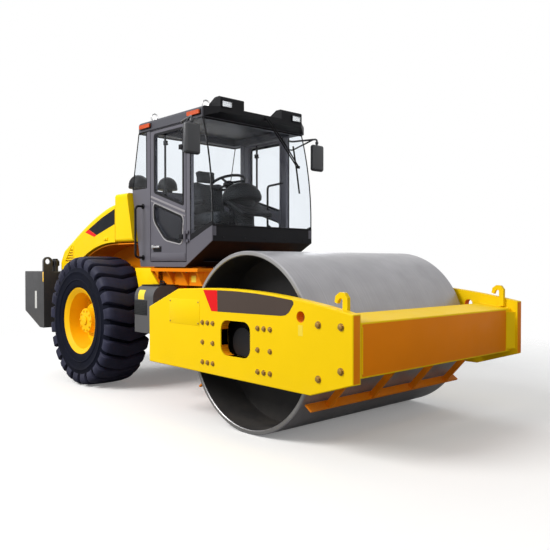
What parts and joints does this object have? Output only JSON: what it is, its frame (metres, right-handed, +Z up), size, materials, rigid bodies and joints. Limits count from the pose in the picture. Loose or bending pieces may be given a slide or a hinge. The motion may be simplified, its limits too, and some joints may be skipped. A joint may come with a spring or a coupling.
{
  "type": "road roller",
  "caption": "Single-drum soil roller: smooth drum in a plate frame hinged at a centre knuckle to a wheeled rear frame with a glazed cab, engine hood and counterweight.",
  "frame": {"origin": "on the ground, half-way along the machine and on its centre plane", "axes": "+X forward towards the drum, +Y to the machine's left, +Z up"},
  "size_m": [6, 2.412, 3.085],
  "materials": {
    "yellow_paint": "gloss, lightly dusty",
    "shaded_paint": "satin",
    "cab_paint": "satin",
    "black_paint": "satin",
    "tank_paint": "matt moulded",
    "roof_plastic": "matt moulded",
    "black_plastic": "matt moulded",
    "drum_steel": "rolled, lightly scuffed",
    "bare_steel": "machined",
    "rod_chrome": "polished",
    "engine_iron": "painted casting",
    "buffer_rubber": "matt",
    "tyre_rubber": "matt",
    "seat_cover": "woven",
    "clear_glass": "clear",
    "lamp_lens": "clear",
    "amber_lens": "amber"
  },
  "bodies": {
    "rear_frame": {"rear_chassis": "shaded_paint", "rear_axle": "black_paint", "engine_block": "engine_iron", "counterweight": "black_paint", "side_tanks": "tank_paint", "cab_deck": "shaded_paint", "bulkhead": "yellow_paint", "intake_caps": "black_plastic", "fenders": "shaded_paint", "cab_shell": "cab_paint", "cab_front_panel": "black_plastic", "cab_roof": "roof_plastic", "roof_visor": "black_plastic", "windscreen": "clear_glass", "cab_glass": "clear_glass", "seat": "seat_cover", "steering_console": "black_plastic", "work_lamps": "lamp_lens", "marker_lamps": "amber_lens", "mirrors": "black_plastic", "grab_rails": "black_paint", "steering_barrel_left": "black_paint", "steering_barrel_right": "black_paint"},
    "centre_knuckle": {"knuckle": "shaded_paint"},
    "front_frame": {"side_plate_left": "yellow_paint", "side_plate_right": "yellow_paint", "front_beam": "yellow_paint", "rear_crossbeam": "yellow_paint", "lifting_hooks": "yellow_paint", "front_scraper": "shaded_paint", "rear_scraper": "shaded_paint", "drum_carriers": "black_paint", "drum_buffers": "buffer_rubber"},
    "drum_body": {"drum": "drum_steel"},
    "rod_left": {"steering_rod_left": "rod_chrome"},
    "rod_right": {"steering_rod_right": "rod_chrome"},
    "wheel_left": {"tyre_left": "tyre_rubber", "rim_left": "shaded_paint"},
    "wheel_right": {"tyre_right": "tyre_rubber", "rim_right": "shaded_paint"},
    "hood_body": {"hood": "yellow_paint"},
    "door_left_body": {"door_left": "cab_paint", "door_glass_left": "clear_glass"},
    "door_right_body": {"door_right": "cab_paint", "door_glass_right": "clear_glass"}
  },
  "joints": [
    {"name": "steer", "type": "hinge", "parent": "rear_frame", "child": "centre_knuckle", "pos_m": [0.227, 0, 0.69], "axis": [0, 0, 1], "range_deg": [-33, 33]},
    {"name": "oscillate", "type": "hinge", "parent": "centre_knuckle", "child": "front_frame", "pos_m": [0.6, 0, 0.69], "axis": [1, 0, 0], "range_deg": [-10, 10]},
    {"name": "drum_spin", "type": "hinge", "parent": "front_frame", "child": "drum_body", "pos_m": [1.727, 0, 0.765], "axis": [0, 1, 0], "continuous": true},
    {"name": "rod_left_slide", "type": "slide", "parent": "rear_frame", "child": "rod_left", "axis": [0.9996, 0.0268, 0], "range_m": [-0.1, 0.1]},
    {"name": "rod_right_slide", "type": "slide", "parent": "rear_frame", "child": "rod_right", "axis": [0.9996, -0.0268, 0], "range_m": [-0.1, 0.1]},
    {"name": "wheel_left_spin", "type": "hinge", "parent": "rear_frame", "child": "wheel_left", "pos_m": [-1.263, 0.83, 0.755], "axis": [0, 1, 0], "continuous": true},
    {"name": "wheel_right_spin", "type": "hinge", "parent": "rear_frame", "child": "wheel_right", "pos_m": [-1.263, -0.83, 0.755], "axis": [0, 1, 0], "continuous": true},
    {"name": "hood_open", "type": "hinge", "parent": "rear_frame", "child": "hood_body", "pos_m": [-2.425, 0, 1.35], "axis": [0, -1, 0], "range_deg": [0, 50]},
    {"name": "door_left_open", "type": "hinge", "parent": "rear_frame", "child": "door_left_body", "pos_m": [0.353, 0.718, 2.15], "axis": [0, 0, -1], "range_deg": [0, 80]},
    {"name": "door_right_open", "type": "hinge", "parent": "rear_frame", "child": "door_right_body", "pos_m": [0.353, -0.718, 2.15], "axis": [0, 0, 1], "range_deg": [0, 80]}
  ],
  "couplings": [
    {"joint": "rod_left_slide", "follows": "steer", "m_per_rad": -0.17},
    {"joint": "rod_right_slide", "follows": "steer", "m_per_rad": 0.17}
  ]
}
